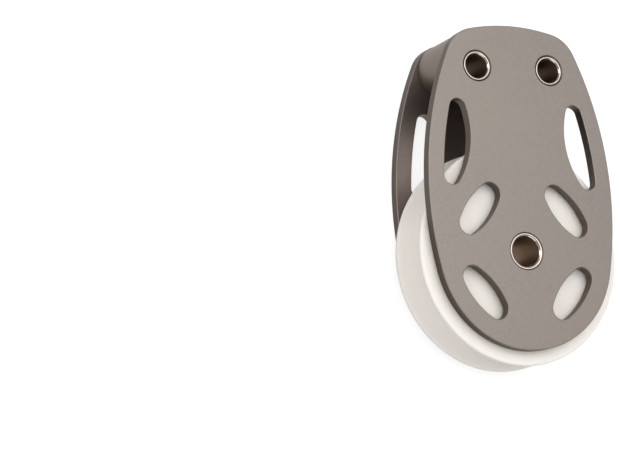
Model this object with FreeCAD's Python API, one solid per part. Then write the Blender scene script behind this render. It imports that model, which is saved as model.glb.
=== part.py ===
import FreeCAD, Part
import math
import os

# Foot block: two cheek plates held apart by a head spacer and an axle sleeve, three tubular
# bushes that take the deck bolts, and a grooved sheave on a caged roller bearing.
# Millimetres. +Z points away from the deck, +Y points to the head of the block, and the
# origin is where the axle's axis meets the deck face of the base plate.

# Cheek plates
plate_thickness = 4.0
plate_gap = 20.5
foot_wrap_degrees = 77.0
side_radius = 125.8
corner_radius = 12.6
crown_radius = 75.5
head_reach = 82.1
edge_break = 0.3

# Four lens-shaped holes round the axle
lens_hole_angles = (40.0, 140.0, 220.0, 320.0)
lens_hole_edge_web = 6.9
lens_hole_width = 10.2
lens_hole_inner_curve = 26.5
lens_hole_corner = 4.0

# Two long holes beside the head, along the side arcs
long_hole_degrees = 9.0
long_hole_edge_web = 6.2
long_hole_width = 10.1
long_hole_inner_curve = 31.0
long_hole_corner = 3.25

# Tubular bushes for the deck bolts
head_bush_x = 14.85
head_bush_to_crown = 15.6
head_bush_bore_radius = 4.2
head_bush_wall = 1.05
axle_bush_bore_radius = 5.25
axle_bush_wall = 1.25
bush_recess = 0.15
bush_rim_width = 0.25
bush_flare_height = 1.2
bush_outer_round = 0.2
bush_fit = 0.02
head_countersink = 0.6
axle_countersink = 0.4

# Head spacer
spacer_crown_inset = 0.3
spacer_end_radius = 10.4
spacer_low_edge_to_bush = 7.3
spacer_edge_break = 0.25

# Sheave
sheave_radius = 40.0
sheave_side_clearance = 0.5
sheave_overhang = 4.9
rope_groove_radius = 7.8
rope_groove_depth = 7.0
hub_recess_width = 2.7
hub_recess_depth = 0.5

# Roller bearing
axle_sleeve_wall = 1.98
roller_count = 10
roller_radius = 2.25
roller_length = 14.0
roller_end_break = 0.3
roller_clearance = 0.05
cage_radial_clearance = 0.35
cage_end_clearance = 0.3
pocket_radial_clearance = 0.12
pocket_end_clearance = 0.15
washer_radial_clearance = 0.3
washer_running_clearance = 0.1

# Heights and radii that follow from the sizes above
block_height = 2 * plate_thickness + plate_gap
middle_height = block_height / 2
top_plate_inner_face = plate_thickness + plate_gap
foot_radius = sheave_radius - sheave_overhang
lens_hole_far_reach = foot_radius - lens_hole_edge_web
lens_hole_near_reach = lens_hole_far_reach - lens_hole_width
head_bush_y = head_reach - head_bush_to_crown
spacer_low_edge = head_bush_y - spacer_low_edge_to_bush
sheave_width = plate_gap - 2 * sheave_side_clearance
rope_groove_floor_radius = sheave_radius - rope_groove_depth
head_bush_outer_radius = head_bush_bore_radius + head_bush_wall
axle_bush_outer_radius = axle_bush_bore_radius + axle_bush_wall
axle_sleeve_bore_radius = axle_bush_outer_radius + bush_fit
axle_sleeve_radius = axle_sleeve_bore_radius + axle_sleeve_wall
roller_pitch_radius = axle_sleeve_radius + roller_clearance + roller_radius
hub_bore_radius = roller_pitch_radius + roller_radius + roller_clearance
hub_recess_radius = hub_bore_radius + hub_recess_width
washer_thickness = sheave_side_clearance + hub_recess_depth - washer_running_clearance
washer_bore_radius = axle_sleeve_radius + roller_clearance
washer_radius = hub_recess_radius - washer_radial_clearance

up = FreeCAD.Vector(0, 0, 1)
axle_centre = (0.0, 0.0)


def at(x, y, z=0.0):
    return FreeCAD.Vector(x, y, z)


def on_circle(centre, radius, degrees):
    angle = math.radians(degrees)
    return at(centre[0] + radius * math.cos(angle), centre[1] + radius * math.sin(angle))


def arc_about(centre, radius, from_degrees, to_degrees):
    """The arc that runs anticlockwise from one direction to the other."""
    turn = (to_degrees - from_degrees) % 360
    stops = (from_degrees, from_degrees + turn / 2, from_degrees + turn)
    return Part.Arc(*[on_circle(centre, radius, degrees) for degrees in stops]).toShape()


def direction_degrees(start, end):
    return math.degrees(math.atan2(end[1] - start[1], end[0] - start[0]))


def circle_crossings(first, first_radius, second, second_radius):
    """The two points where two circles cross, the one to the left of first-to-second first."""
    across = (second[0] - first[0], second[1] - first[1])
    distance = math.hypot(*across)
    along = (distance**2 + first_radius**2 - second_radius**2) / (2 * distance)
    aside = math.sqrt(first_radius**2 - along**2)
    unit = (across[0] / distance, across[1] / distance)
    foot = (first[0] + along * unit[0], first[1] + along * unit[1])
    left = (foot[0] - aside * unit[1], foot[1] + aside * unit[0])
    right = (foot[0] + aside * unit[1], foot[1] - aside * unit[0])
    return left, right


def prism(edges, low, high):
    face = Part.Face(Part.Wire(edges))
    face.translate(at(0, 0, low))
    return face.extrude(up * (high - low))


def ring(inner_radius, outer_radius, low, high):
    outside = Part.makeCylinder(outer_radius, high - low, at(0, 0, low))
    inside = Part.makeCylinder(inner_radius, high - low, at(0, 0, low))
    return outside.cut(inside)


def turned(edges):
    """A solid turned about the Z axis from a closed outline in the XZ plane."""
    return Part.Face(Part.Wire(edges)).revolve(at(0, 0), up, 360)


def line(start, end):
    return Part.LineSegment(start, end).toShape()


def level_edges(solid):
    return [edge for edge in solid.Edges if edge.BoundBox.ZLength < 1e-6]


# Centres of the arcs of the plate outline, which run into each other without a corner.
# foot_end is where the foot arc meets the side arc, as an angle from the X axis.
foot_end = foot_wrap_degrees - 90
side_offset = side_radius - foot_radius
side_centre = (
    -side_offset * math.cos(math.radians(foot_end)),
    -side_offset * math.sin(math.radians(foot_end)),
)
crown_centre = (0.0, head_reach - crown_radius)
corner_centre = circle_crossings(
    side_centre, side_radius - corner_radius, crown_centre, crown_radius - corner_radius
)[0]
side_end = direction_degrees(side_centre, corner_centre)
crown_end = direction_degrees(crown_centre, corner_centre)


def mirrored(centre):
    return (-centre[0], centre[1])


def plate_outline():
    return [
        arc_about(axle_centre, foot_radius, 180 - foot_end, 360 + foot_end),
        arc_about(side_centre, side_radius, foot_end, side_end),
        arc_about(corner_centre, corner_radius, side_end, crown_end),
        arc_about(crown_centre, crown_radius, crown_end, 180 - crown_end),
        arc_about(mirrored(corner_centre), corner_radius, 180 - crown_end, 180 - side_end),
        arc_about(mirrored(side_centre), side_radius, 180 - side_end, 180 - foot_end),
    ]


def lens_hole(outer_centre, outer_radius, inner_centre, inner_radius, corner):
    """A plate hole between two arcs that face each other, with its two tips rounded."""
    tips = circle_crossings(
        outer_centre, outer_radius - corner, inner_centre, inner_radius - corner
    )
    outer = [direction_degrees(outer_centre, tip) for tip in tips]
    inner = [direction_degrees(inner_centre, tip) for tip in tips]
    edges = [
        arc_about(outer_centre, outer_radius, outer[1], outer[0]),
        arc_about(tips[0], corner, outer[0], inner[0]),
        arc_about(inner_centre, inner_radius, inner[0], inner[1]),
        arc_about(tips[1], corner, inner[1], outer[1]),
    ]
    return prism(edges, top_plate_inner_face, block_height)


def lens_holes():
    curve_distance = lens_hole_near_reach + lens_hole_inner_curve
    holes = []
    for degrees in lens_hole_angles:
        curve = on_circle(axle_centre, curve_distance, degrees)
        hole = lens_hole(
            axle_centre,
            lens_hole_far_reach,
            curve,
            lens_hole_inner_curve,
            lens_hole_corner,
        )
        holes.append(hole)
    return holes


def long_holes():
    outer_radius = side_radius - long_hole_edge_web
    curve_distance = outer_radius - long_hole_width + long_hole_inner_curve
    curve = on_circle(side_centre, curve_distance, long_hole_degrees)
    right = lens_hole(side_centre, outer_radius, curve, long_hole_inner_curve, long_hole_corner)
    left = right.mirror(at(0, 0), at(1, 0, 0))
    return [right, left]


def bush_holes():
    """The holes for the three bushes, each with a countersink at the outer face."""
    holes = []
    places = [
        (-head_bush_x, head_bush_y, head_bush_outer_radius, head_countersink),
        (head_bush_x, head_bush_y, head_bush_outer_radius, head_countersink),
        (0, 0, axle_bush_outer_radius, axle_countersink),
    ]
    for x, y, bush_radius, countersink in places:
        radius = bush_radius + bush_fit
        holes.append(Part.makeCylinder(radius, plate_thickness, at(x, y, top_plate_inner_face)))
        mouth = Part.makeCone(
            radius, radius + countersink, countersink, at(x, y, block_height - countersink)
        )
        holes.append(mouth)
    return holes


def cheek_plate():
    """The top plate. The base plate is the same plate turned over."""
    blank = prism(plate_outline(), top_plate_inner_face, block_height)
    blank = blank.cut(lens_holes() + long_holes())
    blank = blank.makeChamfer(edge_break, level_edges(blank))
    return blank.cut(bush_holes())


def bush(bore_radius, wall):
    """A tube whose mouths flare at both ends like a bell, up to a narrow flat rim."""
    outer_radius = bore_radius + wall
    flare_width = wall - bush_outer_round - bush_rim_width
    low = bush_recess
    high = block_height - bush_recess
    flare_radius = (flare_width**2 + bush_flare_height**2) / (2 * flare_width)
    half_turn = math.asin(bush_flare_height / flare_radius) / 2
    inward = bore_radius + flare_radius * (1 - math.cos(half_turn))
    rise = flare_radius * math.sin(half_turn)
    round_middle = bush_outer_round * (1 - math.sqrt(0.5))
    mouth_radius = bore_radius + flare_width
    low_neck = low + bush_flare_height
    high_neck = high - bush_flare_height
    edges = [
        line(at(bore_radius, 0, low_neck), at(bore_radius, 0, high_neck)),
        Part.Arc(
            at(bore_radius, 0, high_neck),
            at(inward, 0, high_neck + rise),
            at(mouth_radius, 0, high),
        ).toShape(),
        line(at(mouth_radius, 0, high), at(outer_radius - bush_outer_round, 0, high)),
        Part.Arc(
            at(outer_radius - bush_outer_round, 0, high),
            at(outer_radius - round_middle, 0, high - round_middle),
            at(outer_radius, 0, high - bush_outer_round),
        ).toShape(),
        line(at(outer_radius, 0, high - bush_outer_round), at(outer_radius, 0, low + bush_outer_round)),
        Part.Arc(
            at(outer_radius, 0, low + bush_outer_round),
            at(outer_radius - round_middle, 0, low + round_middle),
            at(outer_radius - bush_outer_round, 0, low),
        ).toShape(),
        line(at(outer_radius - bush_outer_round, 0, low), at(mouth_radius, 0, low)),
        Part.Arc(
            at(mouth_radius, 0, low),
            at(inward, 0, low_neck - rise),
            at(bore_radius, 0, low_neck),
        ).toShape(),
    ]
    return turned(edges)


def head_spacer():
    """A block between the plates, with full round ends that run into its crown."""
    crown = crown_radius - spacer_crown_inset
    end_y = spacer_low_edge + spacer_end_radius
    end_x = math.sqrt((crown - spacer_end_radius) ** 2 - (end_y - crown_centre[1]) ** 2)
    end = (end_x, end_y)
    meeting = direction_degrees(crown_centre, end)
    edges = [
        arc_about(end, spacer_end_radius, -90, meeting),
        arc_about(crown_centre, crown, meeting, 180 - meeting),
        arc_about(mirrored(end), spacer_end_radius, 180 - meeting, 270),
        line(at(-end_x, spacer_low_edge), at(end_x, spacer_low_edge)),
    ]
    body = prism(edges, plate_thickness, top_plate_inner_face)
    body = body.makeChamfer(spacer_edge_break, level_edges(body))
    radius = head_bush_outer_radius + bush_fit
    for side in (-1, 1):
        corner = at(side * head_bush_x, head_bush_y, plate_thickness)
        body = body.cut(Part.makeCylinder(radius, plate_gap, corner))
    return body


def sheave():
    """The grooved wheel. Its lips are full rounds that run into the rope groove."""
    half = sheave_width / 2
    groove_centre = rope_groove_floor_radius + rope_groove_radius
    # The lip touches the side face, the rim and the groove, which fixes its radius.
    step = sheave_radius - groove_centre
    sum_of_reaches = step + half + rope_groove_radius
    lip = sum_of_reaches - math.sqrt(sum_of_reaches**2 - step**2 - half**2 + rope_groove_radius**2)
    lip_r = sheave_radius - lip
    lip_z = half - lip
    share = rope_groove_radius / (rope_groove_radius + lip)
    meet_r = groove_centre + (lip_r - groove_centre) * share
    meet_z = lip_z * share
    floor_z = half - hub_recess_depth

    def point(radius, height):
        return at(radius, 0, middle_height + height)

    edges = [
        line(point(hub_bore_radius, -floor_z), point(hub_bore_radius, floor_z)),
        line(point(hub_bore_radius, floor_z), point(hub_recess_radius, floor_z)),
        line(point(hub_recess_radius, floor_z), point(hub_recess_radius, half)),
        line(point(hub_recess_radius, half), point(lip_r, half)),
        Part.Arc(point(lip_r, half), point(sheave_radius, lip_z), point(meet_r, meet_z)).toShape(),
        Part.Arc(
            point(meet_r, meet_z),
            point(rope_groove_floor_radius, 0),
            point(meet_r, -meet_z),
        ).toShape(),
        Part.Arc(
            point(meet_r, -meet_z), point(sheave_radius, -lip_z), point(lip_r, -half)
        ).toShape(),
        line(point(lip_r, -half), point(hub_recess_radius, -half)),
        line(point(hub_recess_radius, -half), point(hub_recess_radius, -floor_z)),
        line(point(hub_recess_radius, -floor_z), point(hub_bore_radius, -floor_z)),
    ]
    return turned(edges)


def roller_places():
    return [
        on_circle(axle_centre, roller_pitch_radius, 360 / roller_count * (number + 0.5))
        for number in range(roller_count)
    ]


def roller(place):
    low = middle_height - roller_length / 2
    body = Part.makeCylinder(roller_radius, roller_length, at(place.x, place.y, low))
    return body.makeChamfer(roller_end_break, level_edges(body))


def roller_cage():
    """A sleeve with a pocket for each roller. The pockets open inwards and outwards."""
    low = plate_thickness + washer_thickness + cage_end_clearance
    high = block_height - low
    cage = ring(
        axle_sleeve_radius + cage_radial_clearance,
        hub_bore_radius - cage_radial_clearance,
        low,
        high,
    )
    pocket_length = roller_length + 2 * pocket_end_clearance
    pocket_low = middle_height - pocket_length / 2
    pocket_radius = roller_radius + pocket_radial_clearance
    pockets = [
        Part.makeCylinder(pocket_radius, pocket_length, at(place.x, place.y, pocket_low))
        for place in roller_places()
    ]
    return cage.cut(pockets)


def pieces():
    top_plate = cheek_plate()
    head_bush = bush(head_bush_bore_radius, head_bush_wall)
    parts = {
        "top_plate": top_plate,
        "base_plate": top_plate.mirror(at(0, 0, middle_height), up),
        "head_spacer": head_spacer(),
        "head_bush_left": head_bush.translated(at(-head_bush_x, head_bush_y)),
        "head_bush_right": head_bush.translated(at(head_bush_x, head_bush_y)),
        "axle_bush": bush(axle_bush_bore_radius, axle_bush_wall),
        "axle_sleeve": ring(
            axle_sleeve_bore_radius, axle_sleeve_radius, plate_thickness, top_plate_inner_face
        ),
        "thrust_washer_base": ring(
            washer_bore_radius, washer_radius, plate_thickness, plate_thickness + washer_thickness
        ),
        "thrust_washer_top": ring(
            washer_bore_radius,
            washer_radius,
            top_plate_inner_face - washer_thickness,
            top_plate_inner_face,
        ),
        "sheave": sheave(),
        "roller_cage": roller_cage(),
    }
    for number, place in enumerate(roller_places(), start=1):
        parts[f"roller_{number:02d}"] = roller(place)
    return parts


os.makedirs("parts", exist_ok=True)
for name, shape in pieces().items():
    shape.exportStep(f"parts/{name}.step")
    print(name, "volume", round(shape.Volume, 1), "solids", len(shape.Solids), "valid", shape.isValid())
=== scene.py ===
"""Looks of the foot block: smooth meshes and finishes for its pieces, and a studio round it."""

import logging
import math
from collections.abc import Callable
from dataclasses import dataclass, field
from enum import Enum

import bmesh
import bpy
from bpy.types import Material, Node, NodeSocket, NodeTree, Object
from mathutils import Matrix, Vector


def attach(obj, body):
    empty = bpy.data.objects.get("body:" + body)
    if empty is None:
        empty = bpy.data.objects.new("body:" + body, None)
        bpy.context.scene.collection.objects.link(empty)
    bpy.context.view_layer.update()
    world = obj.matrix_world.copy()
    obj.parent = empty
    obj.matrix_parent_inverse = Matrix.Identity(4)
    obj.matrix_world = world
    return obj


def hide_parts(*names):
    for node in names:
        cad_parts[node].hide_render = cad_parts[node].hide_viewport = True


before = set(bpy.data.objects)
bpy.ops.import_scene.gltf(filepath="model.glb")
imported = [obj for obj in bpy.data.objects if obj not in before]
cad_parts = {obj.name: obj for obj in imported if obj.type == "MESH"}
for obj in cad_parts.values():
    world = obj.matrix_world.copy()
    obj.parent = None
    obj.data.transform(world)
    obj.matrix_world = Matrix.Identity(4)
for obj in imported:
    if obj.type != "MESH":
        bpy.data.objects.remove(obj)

log = logging.getLogger("foot_block")

MM = 0.001

Point = tuple[float, float]
Colour = tuple[float, float, float, float]


# Flat geometry, in millimetres and degrees


@dataclass(frozen=True)
class Arc:
    """One arc of a flat outline, run anticlockwise from one bearing to another."""

    centre: Point
    radius: float
    start: float
    end: float

    def sweep(self) -> float:
        """The angle that the arc covers."""
        return (self.end - self.start) % 360

    def first_point(self) -> Point:
        """Where the arc starts."""
        return on_circle(self.centre, self.radius, self.start)

    def passes(self, place: Point, margin: float) -> bool:
        """Tells if the arc runs within a margin of a place."""
        turned = (bearing(self.centre, place) - self.start) % 360
        return abs(math.dist(self.centre, place) - self.radius) < margin and turned <= self.sweep()

    def mirrored(self) -> "Arc":
        """The same arc on the other side of the Y axis, still run anticlockwise."""
        return Arc((-self.centre[0], self.centre[1]), self.radius, 180 - self.end, 180 - self.start)


def on_circle(centre: Point, radius: float, degrees: float) -> Point:
    """The point of a circle at a bearing."""
    angle = math.radians(degrees)
    return centre[0] + radius * math.cos(angle), centre[1] + radius * math.sin(angle)


def bearing(start: Point, end: Point) -> float:
    """The bearing of one point from another."""
    return math.degrees(math.atan2(end[1] - start[1], end[0] - start[0]))


def crossings(
    first: Point, first_radius: float, second: Point, second_radius: float
) -> tuple[Point, Point]:
    """Where two circles cross.

    Args:
        first: centre of the first circle.
        first_radius: its radius.
        second: centre of the second circle.
        second_radius: its radius.

    Returns:
        The crossing on the left of the way from first to second, then the one on the right.
    """
    gap = math.dist(first, second)
    along = (gap**2 + first_radius**2 - second_radius**2) / (2 * gap)
    aside = math.degrees(math.acos(along / first_radius))
    towards = bearing(first, second)
    return (
        on_circle(first, first_radius, towards + aside),
        on_circle(first, first_radius, towards - aside),
    )


def lens(
    outer_centre: Point, outer_radius: float, inner_centre: Point, inner_radius: float, corner: float
) -> list[Arc]:
    """The outline of a hole between two arcs that face each other, with rounded tips.

    Args:
        outer_centre: centre of the arc on the far side of the hole.
        outer_radius: its radius.
        inner_centre: centre of the arc on the near side.
        inner_radius: its radius.
        corner: radius of the two tips.

    Returns:
        The four arcs, in order.
    """
    tips = crossings(outer_centre, outer_radius - corner, inner_centre, inner_radius - corner)
    outer = [bearing(outer_centre, tip) for tip in tips]
    inner = [bearing(inner_centre, tip) for tip in tips]
    return [
        Arc(outer_centre, outer_radius, outer[1], outer[0]),
        Arc(tips[0], corner, outer[0], inner[0]),
        Arc(inner_centre, inner_radius, inner[0], inner[1]),
        Arc(tips[1], corner, inner[1], outer[1]),
    ]


def circle(centre: Point, radius: float) -> list[Arc]:
    """A full circle as two half turns."""
    return [Arc(centre, radius, 0, 180), Arc(centre, radius, 180, 360)]


# The bench: one mesh at a time, held open in edit mode


class Axis(Enum):
    """Which way a spin turns."""

    ACROSS = (0.0, 1.0, 0.0)
    UPRIGHT = (0.0, 0.0, 1.0)


class Bench:
    """A new mesh in edit mode, with a pen that draws edges by spinning and extruding a point."""

    # In millimetres: points closer than the first become one, and points this near a height or
    # the edge of a hole count as on it.
    MERGE_WITHIN = 0.004
    LEVEL_WITHIN = 0.003
    HOLE_MARGIN = 0.01
    # A flat ring of this width beside a round keeps the shading of the face flat.
    HOLD_WIDTH = 0.06
    FEWEST_STEPS = 3
    # A round runs through the points of a quarter circle at these bearings.
    ROUND_BEARINGS = (30, 60, 90)

    def __init__(self, name: str, facet: float) -> None:
        """Opens an empty mesh.

        Args:
            name: the piece's name.
            facet: longest edge of a drawn arc, in millimetres.
        """
        bpy.ops.object.select_all(action="DESELECT")
        bpy.ops.mesh.primitive_plane_add(size=MM)
        self.piece: Object = bpy.context.object
        self.piece.name = self.piece.data.name = name
        bpy.ops.object.mode_set(mode="EDIT")
        bpy.ops.mesh.select_mode(type="VERT")
        bpy.ops.mesh.delete(type="VERT")
        self.facet = facet
        self.pen = Vector()

    def put_pen(self, x: float, y: float, z: float) -> None:
        """Makes a new point and takes the pen to it.

        Args:
            x: its place along X, in millimetres.
            y: its place along Y.
            z: its height.
        """
        bpy.ops.mesh.select_all(action="DESELECT")
        self.pen = Vector((x, y, z)) * MM
        bpy.ops.mesh.primitive_plane_add(size=MM, location=self.pen)
        bpy.ops.mesh.merge(type="CENTER")

    def line_to(self, x: float, y: float, z: float) -> None:
        """Draws a straight edge from the pen.

        Args:
            x: place of its end along X, in millimetres.
            y: place of its end along Y.
            z: height of its end.
        """
        place = Vector((x, y, z)) * MM
        bpy.ops.mesh.extrude_vertices_move(TRANSFORM_OT_translate={"value": place - self.pen})
        self.pen = place

    def arc(self, x: float, y: float, z: float, axis: Axis, degrees: float) -> None:
        """Draws an arc from the pen.

        Args:
            x: place of its centre along X, in millimetres.
            y: place of its centre along Y.
            z: height of its centre.
            axis: the axis that it turns about.
            degrees: how far it turns, by the right-hand rule.
        """
        centre = Vector((x, y, z)) * MM
        reach = self.pen - centre
        length = reach.length / MM * math.radians(abs(degrees))
        steps = max(self.FEWEST_STEPS, math.ceil(length / self.facet))
        # The spin operator turns against the right-hand rule.
        bpy.ops.mesh.spin(steps=steps, angle=-math.radians(degrees), center=centre, axis=axis.value)
        self.pen = centre + Matrix.Rotation(math.radians(degrees), 3, Vector(axis.value)) @ reach

    def outline(self, arcs: list[Arc], level: float) -> None:
        """Draws a flat outline, arc after arc.

        Args:
            arcs: its arcs, in order.
            level: its height, in millimetres.
        """
        self.put_pen(*arcs[0].first_point(), level)
        for arc in arcs:
            self.arc(*arc.centre, level, Axis.UPRIGHT, arc.sweep())

    def join(self) -> None:
        """Merges what meets, and points every face outwards."""
        bpy.ops.mesh.select_all(action="SELECT")
        bpy.ops.mesh.remove_doubles(threshold=self.MERGE_WITHIN * MM)
        bpy.ops.mesh.normals_make_consistent(inside=False)

    def select(self, wanted: Callable[[Vector], bool]) -> None:
        """Selects some of the points, and what lies between them.

        Args:
            wanted: tells of a point's place, in metres, if the point is selected.
        """
        mesh = bmesh.from_edit_mesh(self.piece.data)
        for point in mesh.verts:
            point.select = wanted(point.co)
        mesh.select_flush_mode()
        mesh.select_flush(True)
        bmesh.update_edit_mesh(self.piece.data)

    def select_level(self, level: float) -> None:
        """Selects the flat face at a height."""
        self.select(lambda place: abs(place.z - level * MM) < self.LEVEL_WITHIN * MM)

    def raise_face(self, height: float) -> None:
        """Extrudes the selected face upwards."""
        bpy.ops.mesh.extrude_region_move(TRANSFORM_OT_translate={"value": (0, 0, height * MM)})

    def widen_hole(self, centre: Point, level: float, old: float, new: float) -> None:
        """Scales one round hole of a flat face.

        Args:
            centre: the hole's centre.
            level: height of the face.
            old: the hole's radius.
            new: the radius that it gets.
        """
        self.select(
            lambda place: abs(place.z - level * MM) < self.LEVEL_WITHIN * MM
            and math.dist(place.xy, (centre[0] * MM, centre[1] * MM)) < (old + self.HOLE_MARGIN) * MM
        )
        middle = Vector((*centre, level)) * MM
        bpy.ops.transform.resize(value=(new / old, new / old, 1), center_override=middle)

    def round_face(self, radius: float) -> None:
        """Rounds the edges of the selected flat face with insets, then lays a flat ring inside.

        Args:
            radius: radius of the round.
        """
        done_in = done_up = 0.0
        for degrees in self.ROUND_BEARINGS:
            angle = math.radians(degrees)
            inwards, upwards = radius * (1 - math.cos(angle)), radius * math.sin(angle)
            self.inset(inwards - done_in, upwards - done_up)
            done_in, done_up = inwards, upwards
        self.inset(self.HOLD_WIDTH, 0)

    def inset(self, width: float, height: float) -> None:
        """Insets the selected face as one region and moves it outwards."""
        bpy.ops.mesh.inset(thickness=width * MM, depth=height * MM, use_even_offset=True)

    def turn(self, x: float, y: float, steps: int) -> None:
        """Turns what is drawn about an upright axis into a closed solid.

        Args:
            x: place of the axis along X.
            y: place of the axis along Y.
            steps: facets in the whole turn.
        """
        bpy.ops.mesh.select_all(action="SELECT")
        centre = Vector((x, y, 0)) * MM
        bpy.ops.mesh.spin(steps=steps, angle=math.tau, center=centre, axis=Axis.UPRIGHT.value)
        self.join()

    def turn_over(self, level: float) -> None:
        """Mirrors the piece through a level plane.

        Args:
            level: height of the plane.
        """
        bpy.ops.mesh.select_all(action="SELECT")
        bpy.ops.transform.resize(value=(1, 1, -1), center_override=(0, 0, level * MM))
        self.join()

    def close(self, smooth_degrees: float) -> Object:
        """Leaves edit mode and shades the piece.

        Args:
            smooth_degrees: edges that turn by less than this angle are shaded smooth.

        Returns:
            The finished piece.
        """
        bpy.ops.object.mode_set(mode="OBJECT")
        bpy.ops.object.shade_smooth_by_angle(angle=math.radians(smooth_degrees))
        return self.piece

    @classmethod
    def copy_of(cls, piece: Object, name: str, facet: float) -> "Bench":
        """Opens a copy of a finished piece, with a mesh of its own, in edit mode.

        Args:
            piece: the finished piece.
            name: the copy's name.
            facet: longest edge of a drawn arc.

        Returns:
            The bench that holds the copy.
        """
        bench = cls(name, facet)
        bpy.ops.object.mode_set(mode="OBJECT")
        spare = bench.piece.data
        bench.piece.data = piece.data.copy()
        bench.piece.data.name = name
        bpy.data.meshes.remove(spare)
        bpy.ops.object.mode_set(mode="EDIT")
        return bench


@dataclass(frozen=True)
class Hole:
    """A round hole with a countersink at one face. Both are in millimetres."""

    centre: Point
    radius: float
    countersink: float = 0.0


@dataclass(frozen=True)
class Slab:
    """A flat piece between two heights, with rounded edges, and round holes countersunk at its
    upper face."""

    low: float
    high: float
    edge: float
    holes: tuple[Hole, ...]
    # A countersink starts at least this far below the upper edge's ring.
    least_wall: float = 0.1

    def cut(self, bench: Bench, outlines: list[list[Arc]]) -> None:
        """Fills the outlines and raises them wall by wall, then rounds the edges.

        Args:
            bench: the bench that holds the piece.
            outlines: its outlines that are still to be drawn, but for the round holes.
        """
        level = self.low + self.edge
        for arcs in outlines + [circle(hole.centre, hole.radius) for hole in self.holes]:
            bench.outline(arcs, level)
        bench.join()
        bpy.ops.mesh.fill()
        deepest = max(hole.countersink for hole in self.holes)
        hold = self.edge + bench.HOLD_WIDTH
        cone_start = self.high - max(deepest, hold + self.least_wall)
        radii = {hole: hole.radius for hole in self.holes}
        for stop in (self.low + hold, cone_start, self.high - hold, self.high - self.edge):
            bench.select_level(level)
            bench.raise_face(stop - level)
            level = stop
            for hole in self.holes:
                wanted = hole.radius + max(0.0, hole.countersink - (self.high - stop))
                if wanted > radii[hole]:
                    bench.widen_hole(hole.centre, level, radii[hole], wanted)
                    radii[hole] = wanted
        bench.join()
        for cap in (self.high - self.edge, self.low + self.edge):
            bench.select_level(cap)
            bench.round_face(self.edge)


# Colours and shader nodes


# Sockets of the Mix node that share a name: those for numbers, then those for colours.
NUMBER_A, NUMBER_B = 2, 3
COLOUR_A, COLOUR_B = 6, 7
MIXED_COLOUR = 2


def linear(hex_colour: str) -> Colour:
    """Turns a colour such as "#A09890" to linear light by the curve of the sRGB standard.

    Args:
        hex_colour: the sRGB colour.

    Returns:
        The linear colour, opaque.
    """
    channels = [int(hex_colour[place : place + 2], 16) / 255 for place in (1, 3, 5)]
    red, green, blue = (c / 12.92 if c <= 0.04045 else ((c + 0.055) / 1.055) ** 2.4 for c in channels)
    return red, green, blue, 1.0


def add_node(tree: NodeTree, kind: str, given: dict[str | int, object] | None = None) -> Node:
    """Adds a shader node with its settings and links.

    Args:
        tree: the node tree that gets it.
        kind: the node's type, without its "ShaderNode" prefix.
        given: its properties by name, and its inputs by name or number. An input gets a value,
            an output that is linked to it, or a node whose first output is.

    Returns:
        The new node.
    """
    node = tree.nodes.new("ShaderNode" + kind)
    for key, value in (given or {}).items():
        if isinstance(value, Node):
            value = value.outputs[0]
        if isinstance(value, NodeSocket):
            tree.links.new(value, node.inputs[key])
        elif isinstance(key, str) and hasattr(node, key):
            setattr(node, key, value)
        else:
            node.inputs[key].default_value = value
    return node


# Finishes, each named for its metal or plastic and for how its surface was made, some also with painted
# shade and painted highlights


@dataclass(frozen=True)
class Finish:
    """A finish, which makes a material of its name. Its lengths are in millimetres."""

    name: str

    def make(self) -> Material:
        """Makes the material.

        Returns:
            The material, with the finish's shader on its output.
        """
        material = bpy.data.materials.new(self.name)
        material.use_nodes = True
        tree = material.node_tree
        tree.nodes.clear()
        add_node(tree, "OutputMaterial", {"Surface": self.shade(tree)})
        return material

    def shade(self, tree: NodeTree) -> Node:
        """Adds the finish's nodes to a tree and gives its shader."""
        raise NotImplementedError


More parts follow.
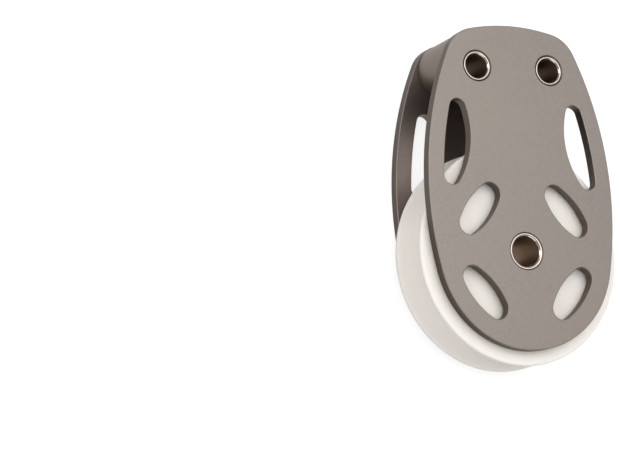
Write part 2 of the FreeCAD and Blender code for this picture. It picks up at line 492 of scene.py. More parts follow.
@dataclass(frozen=True)
class BeadBlastedAnodisedAluminium(Finish):
    """Aluminium, bead blasted and then anodised in its natural grey."""

    name: str = "bead_blasted_anodised_aluminium"
    colour: str = "#7D7671"
    cloud_colour: str = "#807972"
    mottle_colour: str = "#857E78"
    # Broken edges are painted this paler tone: a painted highlight along them.
    edge_highlight_colour: str = "#8F8780"
    # Walls are painted this darker tone: painted shade on the sides.
    wall_shade_colour: str = "#544A43"
    # Clouds of the oxide are about 30 mm across.
    cloud_size: float = 30.0
    # The oxide is mottled at about 0.5 mm. It is drawn at 0.9 mm so that it shows.
    mottle_size: float = 0.9
    # Marks of the glass beads are about 0.1 mm. They are drawn at 0.35 mm so that they show.
    bead_mark: float = 0.35
    bead_depth: float = 0.02
    bead_strength: float = 0.12
    smoothest: float = 0.42
    roughest: float = 0.5
    # How level a face lies, from 0 upright to 1 level: where the painted shade of the walls fades in and is
    # full, and the middle and the reach of the painted highlight on the broken edges, which lean.
    wall_starts: float = 0.3
    wall_full: float = 0.1
    edge_middle: float = 0.65
    edge_reach: float = 0.3

    def shade(self, tree: NodeTree) -> Node:
        """Adds the nodes. The blast gives the eye an even satin grey with a very fine sparkle and no
        direction, the oxide a faint warm clouding, the broken edges a thin paler line of painted highlight,
        and the walls a darker tone of painted shade.

        Args:
            tree: the material's node tree.

        Returns:
            The shader.
        """
        coordinates = add_node(tree, "TexCoord")
        place = coordinates.outputs["Object"]
        scale = 1 / (self.cloud_size * MM)
        clouds = add_node(tree, "TexNoise", {"Scale": scale, "Detail": 2.0, "Vector": place})
        scale = 1 / (self.mottle_size * MM)
        mottle = add_node(
            tree, "TexNoise", {"Scale": scale, "Detail": 2.0, "Roughness": 0.7, "Vector": place}
        )
        scale = 1 / (self.bead_mark * MM)
        beads = add_node(
            tree, "TexNoise", {"Scale": scale, "Detail": 3.0, "Roughness": 0.6, "Vector": place}
        )
        marks = beads.outputs["Fac"]
        cloud_share = add_node(
            tree, "MapRange", {"From Min": 0.35, "From Max": 0.65, "Value": clouds.outputs["Fac"]}
        )
        mottle_share = add_node(
            tree, "MapRange", {"From Min": 0.3, "From Max": 0.7, "Value": mottle.outputs["Fac"]}
        )
        tilt = add_node(tree, "SeparateXYZ", {"Vector": coordinates.outputs["Normal"]})
        levelness = add_node(tree, "Math", {"operation": "ABSOLUTE", 0: tilt.outputs["Z"]})
        wall_shade_share = add_node(
            tree,
            "MapRange",
            {"From Min": self.wall_starts, "From Max": self.wall_full, "Value": levelness},
        )
        edge_highlight_share = add_node(
            tree, "Math", {"operation": "COMPARE", 0: levelness, 1: self.edge_middle, 2: self.edge_reach}
        )
        colour: Colour | NodeSocket = linear(self.colour)
        for share, tone in (
            (cloud_share, self.cloud_colour),
            (mottle_share, self.mottle_colour),
            (edge_highlight_share, self.edge_highlight_colour),
            (wall_shade_share, self.wall_shade_colour),
        ):
            layers = {"data_type": "RGBA", 0: share, COLOUR_A: colour, COLOUR_B: linear(tone)}
            colour = add_node(tree, "Mix", layers).outputs[MIXED_COLOUR]
        sheen = add_node(
            tree, "MapRange", {"To Min": self.smoothest, "To Max": self.roughest, "Value": marks}
        )
        dents = add_node(
            tree,
            "Bump",
            {"Strength": self.bead_strength, "Distance": self.bead_depth * MM, "Height": marks},
        )
        return add_node(
            tree,
            "BsdfPrincipled",
            {"Metallic": 1.0, "Base Color": colour, "Roughness": sheen, "Normal": dents},
        )


@dataclass(frozen=True)
class TurnedStainlessSteel(Finish):
    """Stainless tube, bored on a lathe, with its mouths flared and polished."""

    centre: Point
    # The bore is painted this dark brown: painted shade inside the tube.
    bore_shade_colour: str = "#7A6453"
    bore_light_colour: str = "#947C68"
    mouth_colour: str = "#BDB4AC"
    bore_roughness: float = 0.36
    mouth_roughness: float = 0.18
    anisotropy: float = 0.8
    # How level a face lies, from 0 upright to 1 level, where the mouth's polish starts and
    # where it is full.
    polish_starts: float = 0.02
    polish_full: float = 0.3
    # Marks of the boring tool are about 0.2 mm apart. They are drawn 1.5 mm apart so that they show, in the
    # lower part of the bore only, below these heights.
    feed: float = 1.5
    marks_start: float = 17.0
    marks_full: float = 12.0
    mark_depth: float = 0.03
    mark_strength: float = 0.25
    # A wave texture runs through 20 radians in a metre at a scale of 1.
    wave_radians: float = 20.0

    def shade(self, tree: NodeTree) -> Node:
        """Adds the nodes. Turning leaves fine rings round the bore, which draw each reflection out into a
        streak along it, while the flared mouths shine. The bore is painted a dark brown, a painted shade
        inside the tube, and its rings are painted as bands towards a lighter tone.

        Args:
            tree: the material's node tree.

        Returns:
            The shader.
        """
        coordinates = add_node(tree, "TexCoord")
        place, normal = coordinates.outputs["Object"], coordinates.outputs["Normal"]
        tilt = add_node(tree, "SeparateXYZ", {"Vector": normal})
        levelness = add_node(tree, "Math", {"operation": "ABSOLUTE", 0: tilt.outputs["Z"]})
        mouth = add_node(
            tree,
            "MapRange",
            {"From Min": self.polish_starts, "From Max": self.polish_full, "Value": levelness},
        )
        rings = add_node(
            tree,
            "TexWave",
            {
                "bands_direction": "Z",
                "Scale": math.tau / self.wave_radians / (self.feed * MM),
                "Distortion": 0.8,
                "Detail": 2.0,
                "Detail Scale": 0.4,
                "Vector": place,
            },
        )
        height = add_node(tree, "SeparateXYZ", {"Vector": place}).outputs["Z"]
        marked = add_node(
            tree,
            "MapRange",
            {"From Min": self.marks_start * MM, "From Max": self.marks_full * MM, "Value": height},
        )
        ring_share = add_node(tree, "Mix", {0: marked, NUMBER_A: 0.5, NUMBER_B: rings.outputs["Fac"]})
        colour: Colour | NodeSocket = linear(self.bore_shade_colour)
        for share, tone in ((ring_share, self.bore_light_colour), (mouth, self.mouth_colour)):
            layers = {"data_type": "RGBA", 0: share, COLOUR_A: colour, COLOUR_B: linear(tone)}
            colour = add_node(tree, "Mix", layers).outputs[MIXED_COLOUR]
        sheen = add_node(
            tree,
            "MapRange",
            {"To Min": self.bore_roughness, "To Max": self.mouth_roughness, "Value": mouth},
        )
        strength = add_node(
            tree,
            "Math",
            {"operation": "MULTIPLY_ADD", 0: mouth, 1: -self.mark_strength, 2: self.mark_strength},
        )
        grooves = add_node(
            tree, "Bump", {"Distance": self.mark_depth * MM, "Height": ring_share, "Strength": strength}
        )
        # The rings run round the tube, so they spread each reflection across themselves: along
        # the bore, and outwards over the rim.
        middle = (self.centre[0] * MM, self.centre[1] * MM, 0)
        outwards = add_node(tree, "VectorMath", {"operation": "SUBTRACT", 0: place, 1: middle})
        around = add_node(
            tree, "VectorMath", {"operation": "CROSS_PRODUCT", 0: Axis.UPRIGHT.value, 1: outwards}
        )
        across = add_node(tree, "VectorMath", {"operation": "CROSS_PRODUCT", 0: around, 1: normal})
        return add_node(
            tree,
            "BsdfPrincipled",
            {
                "Metallic": 1.0,
                "Anisotropic": self.anisotropy,
                "Base Color": colour,
                "Roughness": sheen,
                "Normal": grooves,
                "Tangent": across,
            },
        )


@dataclass(frozen=True)
class TurnedAcetal(Finish):
    """White acetal bar, turned to shape."""

    name: str = "turned_white_acetal"
    colour: str = "#F5F0EB"
    haze_colour: str = "#F1EBE5"
    haze_size: float = 12.0
    smoothest: float = 0.5
    roughest: float = 0.6
    ior: float = 1.48
    specular_level: float = 0.15
    # Light goes up to 3 mm deep. The three shares are those of red, green and blue.
    depth_weight: float = 0.7
    depth_of_light: float = 3.0
    depth_shares: tuple[float, float, float] = (0.85, 0.93, 1.0)
    # The feed is about 0.2 mm a turn. The rings are drawn 0.8 mm apart so that they show.
    feed: float = 0.8
    ring_depth: float = 0.01
    ring_strength: float = 0.08

    def shade(self, tree: NodeTree) -> Node:
        """Adds the nodes. Acetal is a dense waxy white with a soft gloss, and turning leaves
        rings about the axle that show only where light grazes them.

        Args:
            tree: the material's node tree.

        Returns:
            The shader.
        """
        place = add_node(tree, "TexCoord").outputs["Object"]
        flat_place = add_node(tree, "VectorMath", {"operation": "MULTIPLY", 0: place, 1: (1, 1, 0)})
        reach = add_node(tree, "VectorMath", {"operation": "LENGTH", 0: flat_place}).outputs["Value"]
        height = add_node(tree, "SeparateXYZ", {"Vector": place}).outputs["Z"]
        # The path of the tool runs out along a face and up the groove, so rings follow both.
        path = add_node(tree, "Math", {"operation": "ADD", 0: reach, 1: height})
        turns = add_node(tree, "Math", {"operation": "MULTIPLY", 0: path, 1: math.tau / (self.feed * MM)})
        rings = add_node(tree, "Math", {"operation": "SINE", 0: turns})
        scale = 1 / (self.haze_size * MM)
        haze = add_node(tree, "TexNoise", {"Scale": scale, "Detail": 3.0, "Vector": place}).outputs["Fac"]
        tones = {COLOUR_A: linear(self.colour), COLOUR_B: linear(self.haze_colour)}
        colour = add_node(tree, "Mix", {"data_type": "RGBA", 0: haze, **tones}).outputs[MIXED_COLOUR]
        sheen = add_node(
            tree, "MapRange", {"To Min": self.smoothest, "To Max": self.roughest, "Value": haze}
        )
        grooves = add_node(
            tree,
            "Bump",
            {"Strength": self.ring_strength, "Distance": self.ring_depth * MM, "Height": rings},
        )
        return add_node(
            tree,
            "BsdfPrincipled",
            {
                "Metallic": 0.0,
                "IOR": self.ior,
                "Specular IOR Level": self.specular_level,
                "Subsurface Weight": self.depth_weight,
                "Subsurface Radius": self.depth_shares,
                "Subsurface Scale": self.depth_of_light * MM,
                "Base Color": colour,
                "Roughness": sheen,
                "Normal": grooves,
            },
        )


@dataclass(frozen=True)
class BearingPlastic(Finish):
    """A plastic of the hidden bearing, told apart by its colour, its sheen and its grain."""

    colour: str
    grain_colour: str
    smoothest: float
    roughest: float
    grain: float
    depth: float
    strength: float = 0.2
    ior: float = 1.5

    def shade(self, tree: NodeTree) -> Node:
        """Adds the nodes: two close tones, and a grain that also dents the surface.

        Args:
            tree: the material's node tree.

        Returns:
            The shader.
        """
        place = add_node(tree, "TexCoord").outputs["Object"]
        scale = 1 / (self.grain * MM)
        grain = add_node(tree, "TexNoise", {"Scale": scale, "Detail": 4.0, "Vector": place}).outputs["Fac"]
        tones = {COLOUR_A: linear(self.colour), COLOUR_B: linear(self.grain_colour)}
        colour = add_node(tree, "Mix", {"data_type": "RGBA", 0: grain, **tones}).outputs[MIXED_COLOUR]
        sheen = add_node(
            tree, "MapRange", {"To Min": self.smoothest, "To Max": self.roughest, "Value": grain}
        )
        dents = add_node(
            tree, "Bump", {"Strength": self.strength, "Distance": self.depth * MM, "Height": grain}
        )
        return add_node(
            tree,
            "BsdfPrincipled",
            {
                "Metallic": 0.0,
                "IOR": self.ior,
                "Base Color": colour,
                "Roughness": sheen,
                "Normal": dents,
            },
        )


@dataclass(frozen=True)
class MattPaper(Finish):
    """The pale matt sheet that the block lies on."""

    name: str = "pale_matt_paper"
    colour: str = "#A9A8A7"
    fibre_colour: str = "#ACABAA"
    # Fibres of the paper are about 1 mm long. They are drawn at 2 mm so that they show.
    fibre: float = 2.0
    roughness: float = 0.5
    glow_colour: str = "#FFFFFF"
    glow: float = 0.78

    def shade(self, tree: NodeTree) -> Node:
        """Adds the nodes. The sheet looks white to the camera and in reflections, by a glow that
        only those rays see, and still keeps part of the block's shadow.

        Args:
            tree: the material's node tree.

        Returns:
            The shader.
        """
        path = add_node(tree, "LightPath")
        seen = path.outputs["Is Camera Ray"]
        for ray in ("Is Glossy Ray", "Is Transmission Ray"):
            seen = add_node(tree, "Math", {"operation": "MAXIMUM", 0: seen, 1: path.outputs[ray]})
        strength = add_node(tree, "Math", {"operation": "MULTIPLY", 0: seen, 1: self.glow})
        glow = add_node(tree, "Emission", {"Color": linear(self.glow_colour), "Strength": strength})
        place = add_node(tree, "TexCoord").outputs["Object"]
        scale = 1 / (self.fibre * MM)
        fibres = add_node(tree, "TexNoise", {"Scale": scale, "Detail": 2.0, "Vector": place}).outputs["Fac"]
        tones = {COLOUR_A: linear(self.colour), COLOUR_B: linear(self.fibre_colour)}
        tone = add_node(tree, "Mix", {"data_type": "RGBA", 0: fibres, **tones}).outputs[MIXED_COLOUR]
        paper = add_node(tree, "BsdfDiffuse", {"Roughness": self.roughness, "Color": tone})
        return add_node(tree, "AddShader", {0: paper, 1: glow})


# The pieces


class Seat(Enum):
    """The CAD bodies that pieces ride on."""

    CHEEKS = "cheeks"
    SHEAVE = "sheave"


def seat_piece(piece: Object, seat: Seat, node: str, material: Material) -> None:
    """Puts a finished piece in place of its CAD node.

    Args:
        piece: the new piece.
        seat: the body that it moves with.
        node: the CAD node that it stands for.
        material: its finish.
    """
    piece.data.materials.clear()
    piece.data.materials.append(material)
    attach(piece, seat.value)
    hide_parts(node)
    log.info("%s: %d faces, in place of %s", piece.name, len(piece.data.polygons), node)


class PlateFace(Enum):
    """The kinds of face on a plate, by the place of their finish in its list of materials."""

    PLAIN = 0
    HOLE_WALL = 1
    COUNTERSINK = 2


@dataclass
class Cheeks:
    """The two cheek plates and the spacer between their heads, in millimetres and degrees."""

    thickness: float = 4.0
    gap: float = 20.5
    foot_radius: float = 35.1
    foot_wrap: float = 77.0
    side_radius: float = 125.8
    corner_radius: float = 12.6
    crown_radius: float = 75.5
    head_reach: float = 82.1
    edge: float = 0.3
    lens_bearings: tuple[float, ...] = (40.0, 140.0, 220.0, 320.0)
    lens_reach: float = 28.2
    lens_width: float = 10.2
    lens_curve: float = 26.5
    lens_corner: float = 4.0
    long_hole_bearing: float = 9.0
    long_hole_web: float = 6.2
    long_hole_width: float = 10.1
    long_hole_curve: float = 31.0
    long_hole_corner: float = 3.25
    head_bolt_x: float = 14.85
    head_bolt_y: float = 66.5
    head_hole_radius: float = 5.27
    axle_hole_radius: float = 6.52
    head_countersink: float = 0.6
    axle_countersink: float = 0.4
    spacer_inset: float = 0.3
    spacer_end_radius: float = 10.4
    spacer_low_edge: float = 59.2
    spacer_edge: float = 0.25
    facet: float = 0.6
    smooth_degrees: float = 35.0
    # A face whose normal has less of Z than this is a wall.
    wall_limit: float = 0.95
    top_finish: BeadBlastedAnodisedAluminium = BeadBlastedAnodisedAluminium()
    # The base plate is painted a little darker and warmer than the top one: painted shade, as it lies in
    # the block's own shade.
    base_finish: BeadBlastedAnodisedAluminium = BeadBlastedAnodisedAluminium(
        name="bead_blasted_anodised_aluminium_base_shaded",
        colour="#7A6F69",
        cloud_colour="#7D726B",
        mottle_colour="#827670",
        edge_highlight_colour="#887E76",
    )
    # The spacer's bar gets a much lighter painted wall shade than the plates, so its sides are nearly as
    # pale as its ends.
    spacer_finish: BeadBlastedAnodisedAluminium = BeadBlastedAnodisedAluminium(
        name="bead_blasted_anodised_aluminium_bar", wall_shade_colour="#7A7068"
    )
    # The walls of the shaped holes get a lighter painted shade than the plates' outer walls.
    hole_wall_shade_finish: BeadBlastedAnodisedAluminium = BeadBlastedAnodisedAluminium(
        name="bead_blasted_anodised_aluminium_hole_wall_shade", wall_shade_colour="#675C54"
    )
    # A countersink is painted as a thin darker and browner ring round its bush: painted shade in the
    # recess.
    countersink_shade_finish: BeadBlastedAnodisedAluminium = BeadBlastedAnodisedAluminium(
        name="countersink_painted_shade_aluminium",
        colour="#6E6259",
        cloud_colour="#6F635A",
        mottle_colour="#72665D",
        edge_highlight_colour="#6E6259",
    )
    pieces: dict[str, Object] = field(default_factory=dict)

    @property
    def height(self) -> float:
        """Height of the whole block."""
        return 2 * self.thickness + self.gap

    @property
    def foot_end(self) -> float:
        """Bearing at which the foot arc runs into the right side arc."""
        return self.foot_wrap - 90

    @property
    def side_centre(self) -> Point:
        """Centre of the right side arc."""
        return on_circle((0.0, 0.0), self.side_radius - self.foot_radius, 180 + self.foot_end)

    @property
    def crown_centre(self) -> Point:
        """Centre of the crown arc."""
        return 0.0, self.head_reach - self.crown_radius

    def outline(self) -> list[Arc]:
        """The outline of a plate.

        Returns:
            Its foot, side, corner and crown, then corner and side again.
        """
        corner_centre = crossings(
            self.side_centre,
            self.side_radius - self.corner_radius,
            self.crown_centre,
            self.crown_radius - self.corner_radius,
        )[0]
        side_end = bearing(self.side_centre, corner_centre)
        crown_end = bearing(self.crown_centre, corner_centre)
        side = Arc(self.side_centre, self.side_radius, self.foot_end, side_end)
        corner = Arc(corner_centre, self.corner_radius, side_end, crown_end)
        crown = Arc(self.crown_centre, self.crown_radius, crown_end, 180 - crown_end)
        foot = Arc((0.0, 0.0), self.foot_radius, 180 - self.foot_end, 360 + self.foot_end)
        return [foot, side, corner, crown, corner.mirrored(), side.mirrored()]

    def shaped_holes(self) -> list[list[Arc]]:
        """The outlines of the holes that take no bolt.

        Returns:
            The four lens-shaped holes round the axle, then the two long holes near the head.
        """
        axle = (0.0, 0.0)
        distance = self.lens_reach - self.lens_width + self.lens_curve
        centres = [on_circle(axle, distance, turn) for turn in self.lens_bearings]
        holes = [
            lens(axle, self.lens_reach, centre, self.lens_curve, self.lens_corner) for centre in centres
        ]
        reach = self.side_radius - self.long_hole_web
        distance = reach - self.long_hole_width + self.long_hole_curve
        centre = on_circle(self.side_centre, distance, self.long_hole_bearing)
        right = lens(self.side_centre, reach, centre, self.long_hole_curve, self.long_hole_corner)
        left = [arc.mirrored() for arc in reversed(right)]
        return holes + [right, left]

    def bolt_holes(self, head_countersink: float, axle_countersink: float) -> tuple[Hole, ...]:
        """The round holes for the bushes.

        Args:
            head_countersink: depth of the countersinks of the two head holes.
            axle_countersink: depth of the axle hole's countersink.

        Returns:
            The two head holes, then the axle hole.
        """
        return (
            Hole((-self.head_bolt_x, self.head_bolt_y), self.head_hole_radius, head_countersink),
            Hole((self.head_bolt_x, self.head_bolt_y), self.head_hole_radius, head_countersink),
            Hole((0.0, 0.0), self.axle_hole_radius, axle_countersink),
        )

    def build(self) -> None:
        """Builds the top plate, turns a copy over for the base plate, and builds the spacer."""
        bench = Bench("top_cheek_plate", self.facet)
        holes = self.bolt_holes(self.head_countersink, self.axle_countersink)
        plate = Slab(self.height - self.thickness, self.height, self.edge, holes)
        plate.cut(bench, [self.outline()] + self.shaped_holes())
        self.pieces["top_plate"] = bench.close(self.smooth_degrees)
        bench = Bench.copy_of(self.pieces["top_plate"], "base_cheek_plate", self.facet)
        bench.turn_over(self.height / 2)
        self.pieces["base_plate"] = bench.close(self.smooth_degrees)
        bench = Bench("head_spacer_block", self.facet)
        self.build_spacer(bench)
        self.pieces["head_spacer"] = bench.close(self.smooth_degrees)

    def build_spacer(self, bench: Bench) -> None:
        """Builds the spacer, whose lower side is straight between its round ends. The crown
        joins them at its upper side.

        Args:
            bench: the bench that holds it.
        """
        low, high = self.thickness, self.thickness + self.gap
        level = low + self.spacer_edge
        crown = self.crown_radius - self.spacer_inset
        end_y = self.spacer_low_edge + self.spacer_end_radius
        end_x = math.sqrt((crown - self.spacer_end_radius) ** 2 - (end_y - self.crown_centre[1]) ** 2)
        meeting = bearing(self.crown_centre, (end_x, end_y))
        end = Arc((end_x, end_y), self.spacer_end_radius, -90, meeting)
        top = Arc(self.crown_centre, crown, meeting, 180 - meeting)
        bench.outline([end, top, end.mirrored()], level)
        bench.line_to(*end.first_point(), level)
        Slab(low, high, self.spacer_edge, self.bolt_holes(0.0, 0.0)[:2]).cut(bench, [])

    def dress(self) -> None:
        """Gives the plates and the spacer their blasted and anodised finishes."""
        finishes = {
            "top_plate": self.top_finish,
            "base_plate": self.base_finish,
            "head_spacer": self.spacer_finish,
        }
        more = [self.hole_wall_shade_finish.make(), self.countersink_shade_finish.make()]
        for node, piece in self.pieces.items():
            seat_piece(piece, Seat.CHEEKS, node, finishes[node].make())
            if node != "head_spacer":
                for material in more:
                    piece.data.materials.append(material)
                self.mark_walls(piece)

    def mark_walls(self, piece: Object) -> None:
        """Gives the walls of a plate's shaped holes and the cones of its bolt holes their own finishes,
        which carry their own levels of painted shade.

        Args:
            piece: the plate.
        """
        arcs = [arc for outline in self.shaped_holes() for arc in outline]
        holes = self.bolt_holes(self.head_countersink, self.axle_countersink)
        margin = 2 * self.edge
        for face in piece.data.polygons:
            place = (face.center.x / MM, face.center.y / MM)
            upright = abs(face.normal.z) < self.wall_limit
            kind = PlateFace.PLAIN
            if any(math.dist(place, hole.centre) < hole.radius + hole.countersink for hole in holes):
                kind = PlateFace.COUNTERSINK
            elif upright and any(arc.passes(place, margin) for arc in arcs):
                kind = PlateFace.HOLE_WALL
            face.material_index = kind.value


@dataclass
class BoltBush:
    """One tubular bush with flared mouths, which takes a deck bolt, in millimetres."""

    node: str
    centre: Point
    bore_radius: float
    wall: float
    # The bore's painted shade and the lighter tone of its rings, set bush by bush.
    bore_shade_colours: tuple[str, str] = ("#6A5747", "#927B67")
    height: float = 28.5
    recess: float = 0.15
    rim_width: float = 0.25
    flare_height: float = 1.2
    outer_round: float = 0.2
    facet: float = 0.06
    steps_round: int = 144
    smooth_degrees: float = 50.0
    piece: Object | None = None

    def build(self) -> None:
        """Draws half of the tube's section and turns it."""
        bench = Bench(self.node + "_tube", self.facet)
        x, y = self.centre
        bore, outer = x + self.bore_radius, x + self.bore_radius + self.wall
        mouth = outer - self.outer_round - self.rim_width
        flare_width = mouth - bore
        flare_radius = (flare_width**2 + self.flare_height**2) / (2 * flare_width)
        flare_turn = math.degrees(math.asin(self.flare_height / flare_radius))
        shoulder = outer - self.outer_round
        low, high = self.recess, self.height - self.recess
        bench.put_pen(bore, y, low + self.flare_height)
        bench.line_to(bore, y, high - self.flare_height)
        bench.arc(bore + flare_radius, y, high - self.flare_height, Axis.ACROSS, flare_turn)
        bench.line_to(mouth, y, high)
        bench.line_to(shoulder, y, high)
        bench.arc(shoulder, y, high - self.outer_round, Axis.ACROSS, 90)
        bench.line_to(outer, y, low + self.outer_round)
        bench.arc(shoulder, y, low + self.outer_round, Axis.ACROSS, 90)
        bench.line_to(mouth, y, low)
        bench.put_pen(bore, y, low + self.flare_height)
        bench.arc(bore + flare_radius, y, low + self.flare_height, Axis.ACROSS, -flare_turn)
        bench.join()
        bench.turn(x, y, self.steps_round)
        self.piece = bench.close(self.smooth_degrees)

    def dress(self) -> None:
        """Gives the bush its turned and polished finish."""
        name = f"turned_stainless_steel_{self.node}"
        material = TurnedStainlessSteel(name, self.centre, *self.bore_shade_colours).make()
        seat_piece(self.piece, Seat.CHEEKS, self.node, material)


@dataclass
class Sheave:
    """The grooved wheel, in millimetres."""

    radius: float = 40.0
    width: float = 19.5
    groove_radius: float = 7.8
    groove_depth: float = 7.0
    hub_bore_radius: float = 13.1
    hub_recess_radius: float = 15.8
    hub_recess_depth: float = 0.5
    middle: float = 14.25
    facet: float = 0.35
    steps_round: int = 288
    smooth_degrees: float = 35.0
    # A flat ring of this width beside the lips keeps the shading of the faces flat.
    hold_width: float = 0.1
    finish: TurnedAcetal = TurnedAcetal()
    piece: Object | None = None

    def build(self) -> None:
        """Draws half of the wheel's section and turns it. The lips are full rounds that touch
        the side face, the rim and the groove, which fixes their radius."""
        half = self.width / 2
        groove_centre = self.radius - self.groove_depth + self.groove_radius
        step = self.radius - groove_centre
        reach = step + half + self.groove_radius
        lip = reach - math.sqrt(reach**2 - step**2 - half**2 + self.groove_radius**2)
        lip_x, lip_z = self.radius - lip, half - lip
        slope = -bearing((lip_x, lip_z), (groove_centre, 0.0))
        floor_z = half - self.hub_recess_depth
        bench = Bench("grooved_sheave", self.facet)
        bench.put_pen(self.hub_bore_radius, 0, self.middle - floor_z)
        bench.line_to(self.hub_bore_radius, 0, self.middle + floor_z)
        bench.line_to(self.hub_recess_radius, 0, self.middle + floor_z)
        bench.line_to(self.hub_recess_radius, 0, self.middle + half)
        bench.line_to(lip_x - self.hold_width, 0, self.middle + half)
        bench.line_to(lip_x, 0, self.middle + half)
        bench.arc(lip_x, 0, self.middle + lip_z, Axis.ACROSS, 90 + slope)
        bench.arc(groove_centre, 0, self.middle, Axis.ACROSS, -2 * slope)
        bench.arc(lip_x, 0, self.middle - lip_z, Axis.ACROSS, 90 + slope)
        bench.line_to(lip_x - self.hold_width, 0, self.middle - half)
        bench.line_to(self.hub_recess_radius, 0, self.middle - half)
        bench.line_to(self.hub_recess_radius, 0, self.middle - floor_z)
        bench.line_to(self.hub_bore_radius, 0, self.middle - floor_z)
        bench.join()
        bench.turn(0, 0, self.steps_round)
        self.piece = bench.close(self.smooth_degrees)

    def dress(self) -> None:
        """Gives the sheave its turned white finish."""
        seat_piece(self.piece, Seat.SHEAVE, "sheave", self.finish.make())


@dataclass
class Bearing:
    """The hidden bearing: sleeve, rollers, cage and washers, which keep their CAD shapes."""

    sleeve: TurnedStainlessSteel = TurnedStainlessSteel(
        "turned_stainless_steel_axle_sleeve", (0.0, 0.0)
    )
    # Polyethylene skived into sheet is a pale cream with a soft sheen and faint knife marks.
    washer: BearingPlastic = BearingPlastic(
        "skived_polyethylene", "#D8D4CA", "#CBC6BA", smoothest=0.29, roughest=0.41, grain=0.8, depth=0.01
    )
    # Black acetal takes the fine matt grain of its mould.
    cage: BearingPlastic = BearingPlastic(
        "moulded_black_acetal", "#2A2A2C", "#323234", smoothest=0.44, roughest=0.56, grain=0.5, depth=0.02
    )
    # Polyamide rod is amber, and grinding leaves it smooth with a low gloss.
    rollers: BearingPlastic = BearingPlastic(
        "ground_polyamide", "#B8924F", "#A98345", smoothest=0.22, roughest=0.34, grain=0.4, depth=0.005
    )

    def dress(self) -> None:
        """Gives each CAD node of the bearing its finish, found by how its name starts."""
        materials = {
            "axle_sleeve": self.sleeve.make(),
            "thrust_washer": self.washer.make(),
            "roller_cage": self.cage.make(),
            "roller": self.rollers.make(),
        }
        for name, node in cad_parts.items():
            start = next((start for start in materials if name.startswith(start)), None)
            if start is None:
                continue
            for slot in node.material_slots:
                slot.link = "OBJECT"
                slot.material = materials[start]
            log.info("%s keeps its CAD shape and gets %s", name, materials[start].name)


# The studio


@dataclass(frozen=True)
class SoftBox:
    """A soft lamp: the way to it from the block, its distance and sides in metres, and power."""

    name: str
    towards: tuple[float, float, float]
    distance: float
    width: float
    depth: float
    power: float

    def place(self, aim: Vector) -> None:
        """Adds the lamp and turns it to the block.

        Args:
            aim: the middle of the block.
        """
        way = Vector(self.towards).normalized()
        bpy.ops.object.light_add(type="AREA", location=aim + way * self.distance)
        lamp = bpy.context.object
        lamp.name = lamp.data.name = self.name
        lamp.data.shape = "RECTANGLE"
        lamp.data.size, lamp.data.size_y = self.width, self.depth
        lamp.data.energy = self.power
        lamp.rotation_euler = way.to_track_quat("Z", "Y").to_euler()


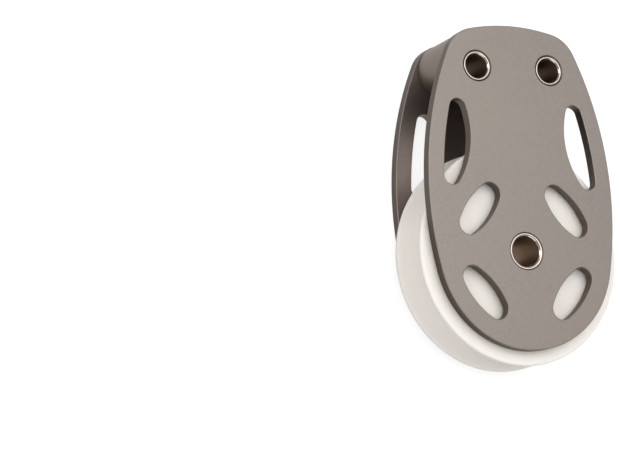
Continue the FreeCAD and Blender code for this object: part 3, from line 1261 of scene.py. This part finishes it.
@dataclass
class Studio:
    """The floor, the lamps, the plain surroundings and the camera, in metres."""

    aim: tuple[float, float, float] = (0.0, 0.02, 0.014)
    surround_colour: str = "#FFFFFF"
    surround_strength: float = 0.46
    floor_side: float = 8.0
    # The floor lies this far under the base plate, in millimetres, so that they don't touch.
    floor_drop: float = 0.02
    floor_finish: MattPaper = MattPaper()
    lamps: tuple[SoftBox, ...] = (
        SoftBox("overhead_box", (0.2, 0.16, 0.96), 1.0, 1.2, 1.0, 4.3),
        SoftBox("overhead_core", (0.2, 0.16, 0.96), 0.9, 0.45, 0.45, 0.93),
        SoftBox("head_box", (0.25, 0.6, 0.8), 1.0, 1.0, 0.6, 0.72),
        SoftBox("left_box", (-0.6, 0.3, 0.74), 1.0, 0.7, 0.7, 1.75),
        SoftBox("low_left_box", (-0.9, 0.24, 0.38), 0.9, 0.4, 0.5, 1.4),
        SoftBox("near_box", (-0.15, -0.95, 0.25), 1.0, 0.8, 0.6, 2.1),
        SoftBox("right_box", (0.9, 0.2, 0.4), 1.0, 0.8, 0.6, 0.6),
    )
    # Where the photograph is taken from, and which ways are right and back from there.
    camera_place: tuple[float, float, float] = (-0.3572, -0.1083, 0.6020)
    camera_right: tuple[float, float, float] = (0.90555, -0.05320, 0.42089)
    camera_back: tuple[float, float, float] = (-0.42339, -0.17621, 0.88865)
    # The lens and the sensor are in millimetres.
    lens_length: float = 112.23
    sensor_width: float = 36.0
    # The camera shows what lies between these distances.
    nearest: float = 0.01
    farthest: float = 20.0

    def build(self) -> None:
        """Lays the floor and places the lamps and the camera."""
        bpy.ops.object.select_all(action="DESELECT")
        bpy.ops.mesh.primitive_plane_add(size=self.floor_side, location=(0, 0, -self.floor_drop * MM))
        floor = bpy.context.object
        floor.name = floor.data.name = "floor"
        floor.data.materials.append(self.floor_finish.make())
        self.light_surround()
        for lamp in self.lamps:
            lamp.place(Vector(self.aim))
        self.place_camera()

    def light_surround(self) -> None:
        """Lights the surroundings evenly."""
        world = bpy.data.worlds.new("studio_surround")
        world.use_nodes = True
        background = world.node_tree.nodes["Background"]
        background.inputs["Color"].default_value = linear(self.surround_colour)
        background.inputs["Strength"].default_value = self.surround_strength
        bpy.context.scene.world = world

    def place_camera(self) -> None:
        """Places the camera at the viewing angle of the photograph."""
        back = Vector(self.camera_back).normalized()
        right = Vector(self.camera_right)
        right = (right - right.dot(back) * back).normalized()
        turned = Matrix((right, back.cross(right), back)).transposed().to_4x4()
        bpy.ops.object.camera_add()
        camera = bpy.context.object
        camera.name = camera.data.name = "camera"
        camera.matrix_world = Matrix.Translation(self.camera_place) @ turned
        camera.data.lens = self.lens_length
        camera.data.sensor_width = self.sensor_width
        camera.data.clip_start, camera.data.clip_end = self.nearest, self.farthest
        bpy.context.scene.camera = camera
        bpy.context.scene.view_settings.view_transform = "Standard"


def main() -> None:
    """Builds every sub-assembly, dresses it and lights it."""
    logging.basicConfig(level=logging.INFO, format="%(name)s: %(message)s")
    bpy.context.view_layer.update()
    cheeks = Cheeks()
    head_x, head_y = cheeks.head_bolt_x, cheeks.head_bolt_y
    bushes = [
        BoltBush("head_bush_left", (-head_x, head_y), bore_radius=4.2, wall=1.05),
        BoltBush("head_bush_right", (head_x, head_y), bore_radius=4.2, wall=1.05),
        # The axle bush's bore gets a lighter painted shade than those of the head bushes.
        BoltBush("axle_bush", (0.0, 0.0), 5.25, 1.25, bore_shade_colours=("#7C6654", "#B0967F")),
    ]
    for assembly in (cheeks, *bushes, Sheave()):
        assembly.build()
        assembly.dress()
    Bearing().dress()
    Studio().build()


if __name__ == "__main__":
    main()
